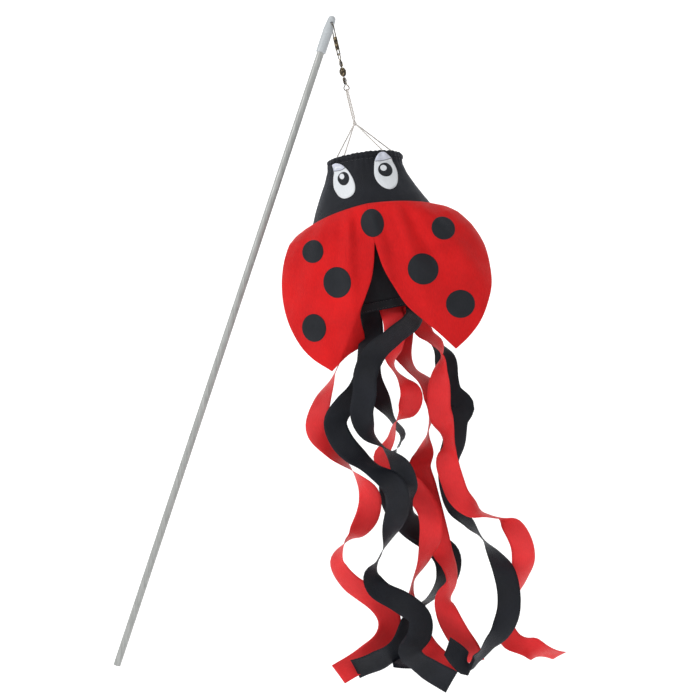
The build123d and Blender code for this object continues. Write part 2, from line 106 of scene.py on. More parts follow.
def smooth(t):
    """An eased step from 0 to 1."""
    t = min(max(t, 0), 1)
    return t * t * (3 - 2 * t)


def between(table, depth):
    """A table's values at a depth, in a straight line between its rows. Column 0 is the depth."""
    if depth <= table[0][0]:
        return table[0][1:]
    for a, b in zip(table, table[1:]):
        if depth <= b[0]:
            t = (depth - a[0]) / (b[0] - a[0])
            return tuple(x + (y - x) * t for x, y in zip(a[1:], b[1:]))
    return table[-1][1:]


# ---------------------------------------------------------------- mesh building
def grid_normals(points, closed):
    """The way that each place of a grid faces."""
    down = np.gradient(points, axis=0)
    if closed:
        side = np.roll(points, -1, axis=1) - np.roll(points, 1, axis=1)
    else:
        side = np.gradient(points, axis=1)
    normal = np.cross(side, down)
    return normal / np.maximum(np.linalg.norm(normal, axis=2, keepdims=True), 1e-12)


def cloth_piece(name, points, thickness, uvs, closed=False):
    """A sheet with a thickness and a rim, from a grid of places and their cloth coordinates."""
    points = np.array(points, float)
    uvs = np.array(uvs, float)
    rows, columns = points.shape[:2]
    half = grid_normals(points, closed) * thickness / 2
    places = np.concatenate([(points + half).reshape(-1, 3), (points - half).reshape(-1, 3)])
    back = rows * columns
    faces, face_uvs, flat = [], [], []

    def corner(i, j):
        return i * columns + j % columns

    def uv(i, j):
        if j < columns:
            return tuple(uvs[i, j])
        return 2 * uvs[i, -1, 0] - uvs[i, -2, 0], uvs[i, 0, 1]

    last = columns if closed else columns - 1
    for i in range(rows - 1):
        for j in range(last):
            around = [(i, j), (i, j + 1), (i + 1, j + 1), (i + 1, j)]
            faces.append([corner(*c) for c in around])
            face_uvs.append([uv(*c) for c in around])
            faces.append([corner(*c) + back for c in reversed(around)])
            face_uvs.append([uv(*c) for c in reversed(around)])
            flat += [False, False]
    rims = [[(0, j + 1), (0, j)] for j in range(last)]
    rims += [[(rows - 1, j), (rows - 1, j + 1)] for j in range(last)]
    if not closed:
        rims += [[(i, 0), (i + 1, 0)] for i in range(rows - 1)]
        rims += [[(i + 1, columns - 1), (i, columns - 1)] for i in range(rows - 1)]
    for a, b in rims:
        faces.append([corner(*a), corner(*b), corner(*b) + back, corner(*a) + back])
        face_uvs.append([uv(*a), uv(*b), uv(*b), uv(*a)])
        flat.append(True)
    return mesh_piece(name, places, faces, face_uvs, flat)


def mesh_piece(name, places, faces, face_uvs=None, flat=None):
    """An object with a mesh. Its faces are smooth except those marked flat."""
    mesh = bpy.data.meshes.new(name)
    mesh.from_pydata([tuple(p) for p in places], [], faces)
    mesh.polygons.foreach_set("use_smooth", [not f for f in flat or [False] * len(faces)])
    if face_uvs:
        layer = mesh.uv_layers.new(name="cloth")
        layer.data.foreach_set("uv", [x for face in face_uvs for pair in face for x in pair])
    mesh.update()
    piece = bpy.data.objects.new(name, mesh)
    bpy.context.scene.collection.objects.link(piece)
    return piece


def finish_piece(piece, material):
    """Give a piece its one material and its colour slot."""
    piece.data.materials.clear()
    piece.data.materials.append(material)
    return piece


# ---------------------------------------------------------------- materials
WAVE_PERIOD = tau / 20      # length of one wave of the wave texture at a scale of 1


def new_material(name, colour, roughness):
    material = bpy.data.materials.new(name)
    material.use_nodes = True
    tree = material.node_tree
    shader = tree.nodes["Principled BSDF"]
    shader.inputs["Base Color"].default_value = (*colour, 1)
    shader.inputs["Roughness"].default_value = roughness
    return material, tree, shader


def add(tree, kind, **values):
    node = tree.nodes.new(kind)
    for key, value in values.items():
        if hasattr(node, key):
            setattr(node, key, value)
        else:
            node.inputs[key.replace("_", " ")].default_value = value
    return node


def noise_node(tree, coordinates, scale, detail=3.0, stretch=(1, 1, 1)):
    mapping = add(tree, "ShaderNodeMapping")
    mapping.inputs["Scale"].default_value = stretch
    tree.links.new(coordinates, mapping.inputs["Vector"])
    texture = add(tree, "ShaderNodeTexNoise", Scale=scale, Detail=detail)
    tree.links.new(mapping.outputs["Vector"], texture.inputs["Vector"])
    return texture.outputs["Fac"]


def ramp(tree, value, *stops):
    node = add(tree, "ShaderNodeValToRGB")
    elements = node.color_ramp.elements
    while len(elements) < len(stops):
        elements.new(0.5)
    for element, (place, colour) in zip(elements, stops):
        element.position = place
        element.color = (*colour, 1)
    tree.links.new(value, node.inputs["Fac"])
    return node.outputs["Color"]


def maths(tree, operation, a, b):
    node = add(tree, "ShaderNodeMath", operation=operation)
    for socket, value in zip(node.inputs, (a, b)):
        if isinstance(value, (int, float)):
            socket.default_value = value
        else:
            tree.links.new(value, socket)
    return node.outputs["Value"]


def bump(tree, shader, height, strength, distance, below=None):
    node = add(tree, "ShaderNodeBump", Strength=strength, Distance=distance)
    tree.links.new(height, node.inputs["Height"])
    if below is not None:
        tree.links.new(below, node.inputs["Normal"])
    tree.links.new(node.outputs["Normal"], shader.inputs["Normal"])
    return node.outputs["Normal"]


def bands(tree, coordinates, direction, pitch):
    """Ridges a pitch apart, in metres, across one direction of the cloth."""
    texture = add(tree, "ShaderNodeTexWave", wave_type="BANDS", bands_direction=direction)
    texture.inputs["Scale"].default_value = WAVE_PERIOD / pitch
    tree.links.new(coordinates, texture.inputs["Vector"])
    return texture.outputs["Fac"]


def cloth_material(name, dark, light, pitch=0.0005, sheen=0.15, sheen_tint=(1, 1, 1),
                   crease=0.0012, roughness=0.62, shine=0.25):
    """Plain-weave nylon: threads both ways, soft creases, uneven colour and a faint sheen."""
    material, tree, shader = new_material(name, light, roughness)
    place = add(tree, "ShaderNodeTexCoord")
    threads = maths(
        tree, "MAXIMUM",
        bands(tree, place.outputs["UV"], "X", pitch), bands(tree, place.outputs["UV"], "Y", pitch),
    )
    patches = noise_node(tree, place.outputs["Object"], 22, 4)
    fibres = noise_node(tree, place.outputs["UV"], 900, 2, (1, 0.25, 1))
    mottle = maths(
        tree, "ADD", maths(tree, "MULTIPLY", fibres, 0.35), maths(tree, "MULTIPLY", patches, 0.65)
    )
    tree.links.new(ramp(tree, mottle, (0.3, dark), (0.7, light)), shader.inputs["Base Color"])
    wear = noise_node(tree, place.outputs["Object"], 60, 3)
    rough = ramp(tree, wear, (0.3, (roughness - 0.07,) * 3), (0.75, (roughness + 0.1,) * 3))
    tree.links.new(rough, shader.inputs["Roughness"])
    shader.inputs["Sheen Weight"].default_value = sheen
    shader.inputs["Sheen Roughness"].default_value = 0.45
    shader.inputs["Sheen Tint"].default_value = (*sheen_tint, 1)
    shader.inputs["Specular IOR Level"].default_value = shine
    creases = noise_node(tree, place.outputs["Object"], 75, 5, (1, 1, 0.55))
    weave = bump(tree, shader, threads, 0.45, pitch * 0.5)
    bump(tree, shader, creases, 0.55, crease, weave)
    return material


def plastic_material(name, dark, light, roughness, streaks):
    """Moulded or pultruded plastic: a fine skin texture, with streaks along the rod's length."""
    material, tree, shader = new_material(name, light, roughness)
    place = add(tree, "ShaderNodeTexCoord")
    grain = noise_node(tree, place.outputs["Object"], 700, 4, streaks)
    cloudy = noise_node(tree, place.outputs["Object"], 45, 4)
    tree.links.new(ramp(tree, grain, (0.3, dark), (0.72, light)), shader.inputs["Base Color"])
    scuffs = ramp(tree, cloudy, (0.35, (roughness - 0.08,) * 3), (0.7, (roughness + 0.12,) * 3))
    tree.links.new(scuffs, shader.inputs["Roughness"])
    bump(tree, shader, grain, 0.12, 0.00006)
    return material


def metal_material(name, dark, glint_colour, glint_scale, roughness=0.34):
    """Dark plated wire and sheet, with painted glints: noise patches of bright colour standing in for
    highlights, smoother where they lie.
    """
    material, tree, shader = new_material(name, dark, roughness)
    place = add(tree, "ShaderNodeTexCoord")
    glints_and_polish = noise_node(tree, place.outputs["Object"], glint_scale, 5)
    # painted glints: noise patches turn the base colour bright in place of highlights, and the same
    # patches lower the roughness
    tree.links.new(ramp(tree, glints_and_polish, (0.48, dark), (0.66, glint_colour)), shader.inputs["Base Color"])
    polish = ramp(tree, glints_and_polish, (0.4, (roughness + 0.16,) * 3), (0.65, (roughness - 0.1,) * 3))
    tree.links.new(polish, shader.inputs["Roughness"])
    shader.inputs["Metallic"].default_value = 1
    bump(tree, shader, noise_node(tree, place.outputs["Object"], 4000, 2), 0.2, 0.00005)
    return material


def cord_material(name, dark, light, pitch):
    """Twisted cord: slanting strands with painted shade in the grooves between them, and fuzz that varies
    the tone.
    """
    material, tree, shader = new_material(name, light, 0.85)
    place = add(tree, "ShaderNodeTexCoord")
    strands = add(tree, "ShaderNodeTexWave", wave_type="BANDS", bands_direction="DIAGONAL")
    strands.inputs["Scale"].default_value = WAVE_PERIOD / pitch
    strands.inputs["Distortion"].default_value = 1.5
    tree.links.new(place.outputs["Object"], strands.inputs["Vector"])
    fuzz = noise_node(tree, place.outputs["Object"], 1800, 3)
    # painted shade: the grooves between the strands are darkened in the colour, with fine fuzz noise
    # varying it at random
    groove_shade_and_fuzz = maths(tree, "MULTIPLY", strands.outputs["Fac"], fuzz)
    tree.links.new(ramp(tree, groove_shade_and_fuzz, (0.1, dark), (0.5, light)), shader.inputs["Base Color"])
    shader.inputs["Sheen Weight"].default_value = 0.3
    bump(tree, shader, strands.outputs["Fac"], 0.7, 0.0003)
    return material


RED_DARK, RED_LIGHT = (0.50, 0.006, 0.008), (0.74, 0.010, 0.011)
BLACK_DARK, BLACK_LIGHT = (0.0040, 0.0045, 0.0065), (0.0095, 0.0110, 0.0165)
BLUE_SHEEN = (0.45, 0.62, 1.0)
RED_SHEEN = (1.0, 0.30, 0.22)
red_cloth = cloth_material("red_cloth", RED_DARK, RED_LIGHT, sheen=0.06, sheen_tint=RED_SHEEN,
                           shine=0.15)
black_cloth = cloth_material("black_cloth", BLACK_DARK, BLACK_LIGHT, sheen=0.05,
                             sheen_tint=BLUE_SHEEN)
spot_cloth = cloth_material("spot_cloth", (0.0075, 0.0085, 0.0115), (0.0140, 0.0165, 0.0215),
                            sheen=0.04, sheen_tint=BLUE_SHEEN, crease=0.0008)
white_cloth = cloth_material("white_cloth", (0.68, 0.71, 0.74), (0.84, 0.87, 0.90), crease=0.0005)
lilac_cloth = cloth_material("lilac_cloth", (0.56, 0.58, 0.68), (0.69, 0.72, 0.82), crease=0.0005)
red_ribbon = cloth_material("red_ribbon", (0.60, 0.010, 0.014), (0.82, 0.018, 0.022),
                            pitch=0.0004, sheen=0.12, sheen_tint=RED_SHEEN, roughness=0.5,
                            shine=0.35)
black_ribbon = cloth_material("black_ribbon", (0.0045, 0.0050, 0.0070), (0.0105, 0.0125, 0.0190),
                              pitch=0.0004, sheen=0.02, sheen_tint=BLUE_SHEEN, roughness=0.52,
                              shine=0.22)
pole_finish = plastic_material("pole_finish", (0.28, 0.29, 0.28), (0.45, 0.46, 0.45), 0.32,
                               (1, 1, 0.02))
cap_finish = plastic_material("cap_finish", (0.42, 0.45, 0.47), (0.52, 0.55, 0.57), 0.42,
                              (1, 1, 1))
# the brass parts and the hoop's wire both carry painted glints from metal_material
antique_brass = metal_material("antique_brass", (0.035, 0.030, 0.024), (0.40, 0.31, 0.19), 480)
spring_wire = metal_material("spring_wire", (0.35, 0.35, 0.36), (0.62, 0.62, 0.63), 300)
bridle_cord = cord_material("bridle_cord", (0.46, 0.42, 0.39), (0.78, 0.75, 0.72), 0.0012)
black_thread = cord_material("black_thread", (0.010, 0.010, 0.013), (0.035, 0.036, 0.045), 0.0006)
grey_thread = cord_material("grey_thread", (0.10, 0.11, 0.13), (0.22, 0.23, 0.26), 0.0006)

# ---------------------------------------------------------------- camera, floor and light
EYE = Vector((0.2596, -1.547, 0.323))
FRAME_WIDTH = 0.7798        # width of the view at the pole, in metres
SENSOR = 36.0
LOWEST = cad_bounds[0].z
FLOOR_DROP = 0.25           # the sock hangs clear of the floor
VIEW_MIDDLE = 0.351         # height of the middle of the view

camera_data = bpy.data.cameras.new("camera")
camera = bpy.data.objects.new("camera", camera_data)
bpy.context.scene.collection.objects.link(camera)
camera.location = EYE
camera.rotation_euler = (radians(90), 0, 0)
camera_data.sensor_width = SENSOR
camera_data.lens = SENSOR * -EYE.y / FRAME_WIDTH
camera_data.shift_y = (VIEW_MIDDLE - EYE.z) / FRAME_WIDTH
bpy.context.scene.camera = camera
bpy.context.scene.view_settings.view_transform = "Standard"


def backdrop():
    """A pale floor that curves up into a pale wall."""
    reach, front, wall, bend, steps = 6.0, -4.0, 3.2, 1.2, 12
    floor_z = LOWEST - FLOOR_DROP
    profile = [(front, floor_z)]
    for k in range(steps + 1):
        turn = k / steps * pi / 2
        profile.append((wall - bend + bend * sin(turn), floor_z + bend * (1 - cos(turn))))
    profile.append((wall, floor_z + 5))
    places = [(x, y, z) for y, z in profile for x in (-reach, reach)]
    faces = [[2 * i, 2 * i + 1, 2 * i + 3, 2 * i + 2] for i in range(len(profile) - 1)]
    floor = mesh_piece("floor", places, faces)
    material, tree, shader = new_material("pale_floor", (0.93, 0.93, 0.93), 0.9)
    shader.inputs["Emission Color"].default_value = (1, 1, 1, 1)
    shader.inputs["Emission Strength"].default_value = 0.45
    place = add(tree, "ShaderNodeTexCoord")
    soft = noise_node(tree, place.outputs["Object"], 3, 2)
    tree.links.new(ramp(tree, soft, (0.3, (0.92,) * 3), (0.7, (0.94,) * 3)), shader.inputs["Base Color"])
    floor.data.materials.append(material)


def area_light(name, place, target, size, power):
    data = bpy.data.lights.new(name, "AREA")
    data.shape = "DISK"
    data.size = size
    data.energy = power
    lamp = bpy.data.objects.new(name, data)
    bpy.context.scene.collection.objects.link(lamp)
    lamp.location = place
    lamp.rotation_euler = (Vector(target) - Vector(place)).to_track_quat("-Z", "Y").to_euler()


def studio():
    middle = (0.27, 0, 0.38)
    area_light("key", (-1.9, -1.5, 1.7), middle, 0.7, 40)
    area_light("fill", (2.2, -2.0, 1.0), middle, 2.0, 13)
    area_light("top", (0.3, 0.3, 2.8), middle, 2.2, 14)
    world = bpy.data.worlds.new("world")
    bpy.context.scene.world = world
    world.use_nodes = True
    sky = world.node_tree.nodes["Background"]
    sky.inputs["Color"].default_value = (1, 1, 1, 1)
    sky.inputs["Strength"].default_value = 0.36


backdrop()
studio()

# ---------------------------------------------------------------- the bridle's cords
CORD = 1.7
LEG_CORD = 1.4
KNOT_U, KNOT_V = 1.4, 40.0
KNOT_ACROSS, KNOT_DEEP, KNOT_TALL = 0.465, 0.95, 1.0625
RING_WIRE_V = 2.9           # the middle of the ring's wire, where the loop hangs on it
LOOP_BEND = 1.5             # radius of the cord's middle line over that wire
HOOP_U, HOOP_V, HOOP_TILT, HOOP_RADIUS = 4.7, 82.8, radians(5.5), 40.2
LEGS = {"front_left": -36, "back_left": -116, "front_right": 34, "back_right": 98}


def hoop_place(azimuth, radius=HOOP_RADIUS, lift=0.0):
    """u, y and v of a point round the hoop. Azimuth 0 is the front, 90 the sock's right."""
    out = radius * sin(azimuth)
    return (
        HOOP_U + out * cos(HOOP_TILT) + lift * sin(HOOP_TILT),
        -radius * cos(azimuth),
        HOOP_V + out * sin(HOOP_TILT) - lift * cos(HOOP_TILT),
    )


def cord_curve(name, points, diameter, material):
    """A smooth round cord. The points are in millimetres in the sock's frame."""
    curve = bpy.data.curves.new(name, "CURVE")
    curve.dimensions = "3D"
    curve.bevel_depth = diameter / 2 * MM
    curve.bevel_resolution = 4
    curve.resolution_u = 12
    curve.use_fill_caps = True
    spline = curve.splines.new("NURBS")
    spline.points.add(len(points) - 1)
    for point, (u, y, v) in zip(spline.points, points):
        point.co = (*sock_point(u, y, v), 1)
    spline.order_u = 3
    spline.use_endpoint_u = True
    piece = bpy.data.objects.new(name, curve)
    bpy.context.scene.collection.objects.link(piece)
    curve.materials.append(material)
    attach(piece, "sock")
    return piece


def bridle():
    """The doubled loop over the ring and the four legs to the hoop."""
    half = CORD / 2 + 0.15      # the loop's two runs lie side by side
    foot = KNOT_V - 4
    corners = [radians(18 + 36 * k) for k in range(5)]
    out = LOOP_BEND / cos(corners[0])    # the corners of a polygon that the bend touches
    over_ring = [(-0.4 + 0.2 * k, out * cos(turn), RING_WIRE_V - out * sin(turn))
                 for k, turn in enumerate(corners)]
    loop_points = [(KNOT_U - half, 0, foot), (-half, 1.9, 8.0), *over_ring,
                   (half, -1.9, 8.0), (KNOT_U + half, 0, foot)]
    loop = cord_curve("bridle_loop_cord", loop_points, CORD, bridle_cord)
    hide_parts("bridle_loop")
    for name, azimuth in LEGS.items():
        start = Vector((KNOT_U, 0, KNOT_V))
        end = Vector(hoop_place(radians(azimuth)))
        run = end - start
        points = [tuple(start + run.normalized() * 3.6), tuple(start + run * 0.5),
                  tuple(end - run.normalized() * 1.2)]
        leg = cord_curve(f"bridle_{name}_cord", points, LEG_CORD, bridle_cord)
        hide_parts(f"bridle_leg_{name}")


def tube(name, centres, radius, sides=8, closed=False):
    """A round bar along close-set places."""
    c = [Vector(p) for p in centres]
    count = len(c)
    places, faces = [], []
    side = None
    for i in range(count):
        if closed:
            way = (c[(i + 1) % count] - c[i - 1]).normalized()
        else:
            way = (c[min(i + 1, count - 1)] - c[max(i - 1, 0)]).normalized()
        if side is None:
            side = way.orthogonal().normalized()
        side = (side - way * side.dot(way)).normalized()
        up = way.cross(side)
        places += [c[i] + (side * cos(k / sides * tau) + up * sin(k / sides * tau)) * radius
                   for k in range(sides)]
    for i in range(count if closed else count - 1):
        a, b = i * sides, (i + 1) % count * sides
        faces += [[a + k, a + (k + 1) % sides, b + (k + 1) % sides, b + k] for k in range(sides)]
    if not closed:
        faces.append(list(range(sides))[::-1])
        faces.append([(count - 1) * sides + k for k in range(sides)])
    return mesh_piece(name, places, faces)


def knot():
    """An overhand knot: a trefoil pulled long, with the cords gathered in it."""
    count = 90
    centres = []
    for k in range(count):
        t = k / count * tau
        centres.append(sock_point(
            KNOT_U + KNOT_ACROSS * (sin(t) + 2 * sin(2 * t)),
            -KNOT_DEEP * sin(3 * t),
            KNOT_V + KNOT_TALL * (cos(t) - 2 * cos(2 * t)),
        ))
    piece = tube("knot_cord", centres, CORD / 2 * MM, 10, closed=True)
    finish_piece(piece, bridle_cord)
    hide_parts("bridle_knot")
    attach(piece, "sock")


knot()
bridle()

# ---------------------------------------------------------------- snap and swivel
CHAIN_TILT = radians(13)
hook = Vector(joints["snap_swing"]["pos_m"])
CHAIN_ACROSS = Vector((cos(CHAIN_TILT), 0, sin(CHAIN_TILT)))
CHAIN_DOWN = Vector((sin(CHAIN_TILT), 0, -cos(CHAIN_TILT)))
EYE_TURN = radians(50)
EYE_WIRE, RING_WIRE = 1.0, 1.1
RING_MIDDLE = 72.4
NECK_TURNS = 4.5


def chain_point(x, y, down):
    return hook + (CHAIN_ACROSS * x + Vector((0, y, 0)) + CHAIN_DOWN * down) * MM


def turned(x, y, turn):
    return x * cos(turn) - y * sin(turn), x * sin(turn) + y * cos(turn)


def wrapped_end(name, loop, neck_top, neck_bottom, wire, turn, body, node):
    """One wire: up from the barrel, round the eye, and coiled back down over its own stem."""
    stem = [(0, 0, neck_bottom + (neck_top - neck_bottom) * k / 5) for k in range(5)]
    eye = [(*turned(x, 0, turn), down) for x, down in loop]
    coil = []
    steps = 64
    for k in range(steps + 1):
        t = k / steps
        angle = t * NECK_TURNS * tau + turn
        swell = wire * (0.95 + 0.75 * sin(pi * (0.05 + 0.85 * t)))
        down = neck_top + (neck_bottom - neck_top) * (0.06 + 0.72 * t)
        coil.append((swell * cos(angle), swell * sin(angle), down))
    route = catmull(stem + eye + coil, 420)
    piece = tube(name, [chain_point(*p) for p in route], wire / 2 * MM, 10)
    finish_piece(piece, antique_brass)
    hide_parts(node)
    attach(piece, body)


def swivel():
    upper = [(-0.9, 40.0), (-1.7, 38.2), (-1.8, 35.3), (-1.35, 33.7), (0, 33.1),
             (1.35, 33.7), (1.8, 35.3), (1.7, 38.2), (1.1, 40.0)]
    wrapped_end("upper_eye_wire", upper, 41.2, 49.9, EYE_WIRE, EYE_TURN, "swivel_eye", "swivel_upper_eye")
    middle, radius = RING_MIDDLE, 2.9
    opening = radians(26)
    count = 16
    lower = []
    for k in range(count + 1):
        angle = opening + (tau - 2 * opening) * k / count
        lower.append((-radius * sin(angle), middle - radius * cos(angle)))
    wrapped_end("lower_ring_wire", lower, 68.4, 58.4, RING_WIRE, 0, "swivel_ring", "swivel_lower_ring")


swivel()
for name in ("snap_wire", "snap_clasp", "swivel_barrel"):
    finish_piece(nodes[name], antique_brass)
finish_piece(nodes["pole_rod"], pole_finish)
finish_piece(nodes["tip_cap"], cap_finish)
finish_piece(nodes["hoop"], spring_wire)

# ---------------------------------------------------------------- head, casing, body and hem
CLOTH = 0.35
HEADING = 1.5               # how far the tunnel's cloth stands above the hoop at its front
HEADING_TURN = radians(30)
BOTTOM = 252.0
# depth, offset, radius and tilt of the head's cloth
HEAD = [
    (84.9, 4.5, 41.0, 5.5), (92.0, 4.0, 41.6, 5.0), (104.0, 3.0, 46.0, 3.8), (118.0, 1.6, 53.2, 2.2),
    (132.0, 0.5, 60.6, 0.9), (146.2, 0.0, 67.6, 0.0),
]
# depth, half width and half depth of the body's cloth
BODY = [
    (146.0, 67.4, 66.8), (168.0, 62.0, 61.8), (190.0, 57.8, 57.3), (225.0, 52.9, 52.9),
    (256.0, 50.0, 50.0),
]
FOLDS = [(0.7, 3.0, 0.4), (0.55, 5.0, 1.9), (0.35, 9.0, 4.2)]    # size, count and start
GATHER, GATHERS = 0.5, 38   # height and number of the gathers at the hoop


def folds(azimuth, amount):
    """Broad soft folds that run down the cloth."""
    return amount * sum(size * sin(count * azimuth + start) for size, count, start in FOLDS)


def head_place(azimuth, depth, outwards=0.0):
    """A place on the head's cloth, gathered at the hoop and smooth at the neck."""
    offset, radius, tilt = between(HEAD, depth)
    share = (depth - HEAD[0][0]) / (HEAD[-1][0] - HEAD[0][0])
    gathers = GATHER * exp(-share * 5) * sin(GATHERS * azimuth + 2 * sin(5 * azimuth))
    soft = folds(azimuth, 1.5 * sin(pi * min(share + 0.08, 1)))
    r = radius + outwards + gathers + soft
    u = offset + r * sin(azimuth)
    return u, -r * cos(azimuth), depth + r * sin(azimuth) * sin(radians(tilt))


CASING_STEP = 2.3           # the hoop's tunnel stands this far out of the head's cloth


def head_front(u, v, outwards):
    """The place on the head's front that is seen at u and v."""
    depth, azimuth = v, 0.0
    for _ in range(12):
        offset, radius, tilt = between(HEAD, depth)
        r = hypot(*head_place(azimuth, depth)[:2])
        azimuth = asin(max(-1, min(1, (u - offset) / radius)))
        depth = v - (u - offset) * sin(radians(tilt))
    over_casing = CASING_STEP * (1 - smooth((depth - 85.5) / 7.5))
    return head_place(azimuth, depth, outwards + over_casing)


def body_place(azimuth, depth, outwards=0.0):
    """A place on the body's cloth, with folds that grow towards the hem."""
    width, across = between(BODY, depth)
    share = smooth((depth - 175) / 80)
    r = outwards + folds(azimuth + 0.6, 0.9 * share) + 0.3 * share * sin(24 * azimuth)
    return (width + r) * sin(azimuth), -(across + r) * cos(azimuth), depth


def tube_cloth(name, place, top, bottom, rows, columns, outwards, replaced):
    """A round of black cloth between two depths."""
    points, uvs = [], []
    for i in range(rows):
        depth = top + (bottom - top) * i / (rows - 1)
        line = [place(-pi + tau * j / columns, depth, outwards) for j in range(columns)]
        radius = hypot(*line[0][:2])
        points.append([sock_point(*p) for p in line])
        uvs.append([(tau * j / columns * radius * MM, depth * MM) for j in range(columns)])
    piece = cloth_piece(name, points, CLOTH * MM, uvs, closed=True)
    finish_piece(piece, black_cloth)
    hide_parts(replaced)
    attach(piece, "sock")
    return piece


def casing():
    """The cloth tunnel round the hoop, puckered where it is gathered onto the wire."""
    rows, columns = 20, 300
    points, uvs = [], []
    for i in range(rows + 1):
        around = tau * i / rows
        line = []
        for j in range(columns):
            azimuth = tau * j / columns
            pucker = 0.28 * sin(44 * azimuth + 2.2 * sin(3 * azimuth)) + 0.16 * sin(17 * azimuth)
            size = 1.95 + pucker + 0.5 * max(0, -sin(around)) * (1 + 0.4 * sin(9 * azimuth))
            facing = cos(azimuth - HEADING_TURN)
            heading = HEADING * max(0, facing) ** 2 * max(0, sin(around))
            tall = size * (0.95 + 0.2 * facing)
            line.append(sock_point(*hoop_place(
                azimuth, HOOP_RADIUS + size * cos(around), (tall + heading) * sin(around) - 0.2
            )))
        points.append(line)
        uvs.append([(HOOP_RADIUS * tau * j / columns * MM, size * around * MM) for j in range(columns)])
    piece = cloth_piece("hoop_casing_cloth", points, CLOTH * MM, uvs, closed=True)
    finish_piece(piece, black_cloth)
    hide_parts("hoop_casing")
    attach(piece, "sock")


head = tube_cloth("head_cloth", head_place, HEAD[0][0], HEAD[-1][0], 46, 220, 0, "head_panel")
body = tube_cloth("body_cloth", body_place, BODY[0][0], BOTTOM, 52, 160, -0.4, "body_panel")
tube_cloth("hem_cloth", body_place, BOTTOM - 10, BOTTOM + 0.3, 8, 160, 0.15, "bottom_hem")
casing()


STITCH, STITCH_GAP, THREAD = 2.0, 1.0, 0.34
STITCH_SHAPE = [(0.0, 0.35), (0.15, 0.85), (0.5, 1.0), (0.85, 0.85), (1.0, 0.35)]


def stitches(name, places):
    """A line of thread: short raised dashes, one after another."""
    c = [Vector(p) for p in places]
    lengths = [0.0]
    for a, b in zip(c, c[1:]):
        lengths.append(lengths[-1] + (b - a).length)
    pitch = (STITCH + STITCH_GAP) * MM
    verts, faces = [], []
    sides = 6
    for k in range(int(lengths[-1] / pitch)):
        begin = (k + 0.2) * pitch
        centres = []
        for share, size in STITCH_SHAPE:
            at = begin + share * STITCH * MM
            place = Vector([np.interp(at, lengths, [p[axis] for p in c]) for axis in range(3)])
            centres.append((place, size))
        way = (centres[-1][0] - centres[0][0]).normalized()
        side = way.orthogonal().normalized()
        up = way.cross(side)
        base = len(verts)
        for place, size in centres:
            radius = size * THREAD / 2 * MM
            verts += [place + (side * cos(s / sides * tau) + up * sin(s / sides * tau)) * radius
                      for s in range(sides)]
        for i in range(len(STITCH_SHAPE) - 1):
            a, b = base + i * sides, base + (i + 1) * sides
            faces += [[a + s, a + (s + 1) % sides, b + (s + 1) % sides, b + s] for s in range(sides)]
        faces.append([base + s for s in range(sides)][::-1])
        faces.append([base + (len(STITCH_SHAPE) - 1) * sides + s for s in range(sides)])
    piece = mesh_piece(name, verts, faces)
    finish_piece(piece, black_thread)
    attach(piece, "sock")


def ring_line(place, depth, outwards, count=240):
    """A line round the sock at one depth."""
    return [sock_point(*place(tau * k / count, depth, outwards)) for k in range(count + 1)]


stitches("casing_stitches", ring_line(head_place, 87.4, 0.3))
stitches("hem_stitches_upper", ring_line(body_place, BOTTOM - 8.8, 0.4))
stitches("hem_stitches_lower", ring_line(body_place, BOTTOM - 1.4, 0.4))
stitches("neck_stitches", ring_line(head_place, 144.2, 0.3))

# ---------------------------------------------------------------- patches sewn on the cloth
EDGE_SINK = 0.14            # a patch's edge is pulled down onto the cloth by its stitches
LID_SAG = 1.2               # how far the middle of a lid's line hangs down
EYE_OUTLINES = {
    "left": [(-30.8, 85.4), (-27.8, 84.2), (-23.8, 86.4), (-20, 91.4), (-16.5, 98), (-13.5, 107),
             (-12.8, 115.5), (-15, 122.5), (-20, 126.3), (-27.4, 126.7), (-33.2, 122), (-35.8, 114.8),
             (-36, 108), (-34, 99.5), (-32.0, 93.5), (-31.4, 88.8)],
    "right": [(13, 92), (15, 88), (18, 84.5), (21.6, 83.2), (25, 84.2), (28.6, 87.8), (32, 92.6),
              (34.8, 99.6), (35.8, 107.3), (34.6, 115), (32.2, 121), (28.6, 125), (23.3, 126.6),
              (18, 124.7), (13.5, 120), (10.5, 114), (9.7, 107.7), (10.8, 100.4), (12, 95.6)],
}
# the lid's line runs from one u and v to another
LIDS = {"left": (-31.6, 91.8, -20.2, 92.0), "right": (13.2, 92.0, 30.8, 90.8)}
# middle and half sizes
PUPILS = {"left": (-24.0, 103.7, 6.5, 7.9), "right": (22.6, 103.4, 8.0, 8.1)}
HIGHLIGHTS = {"left": (-25.4, 100.6, 2.6, 3.3), "right": (20.6, 101.1, 3.5, 3.5)}


def ellipse(u, v, across, tall, count=72):
    """The outline of an oval."""
    return [(u + across * cos(tau * k / count), v + tall * sin(tau * k / count)) for k in range(count)]


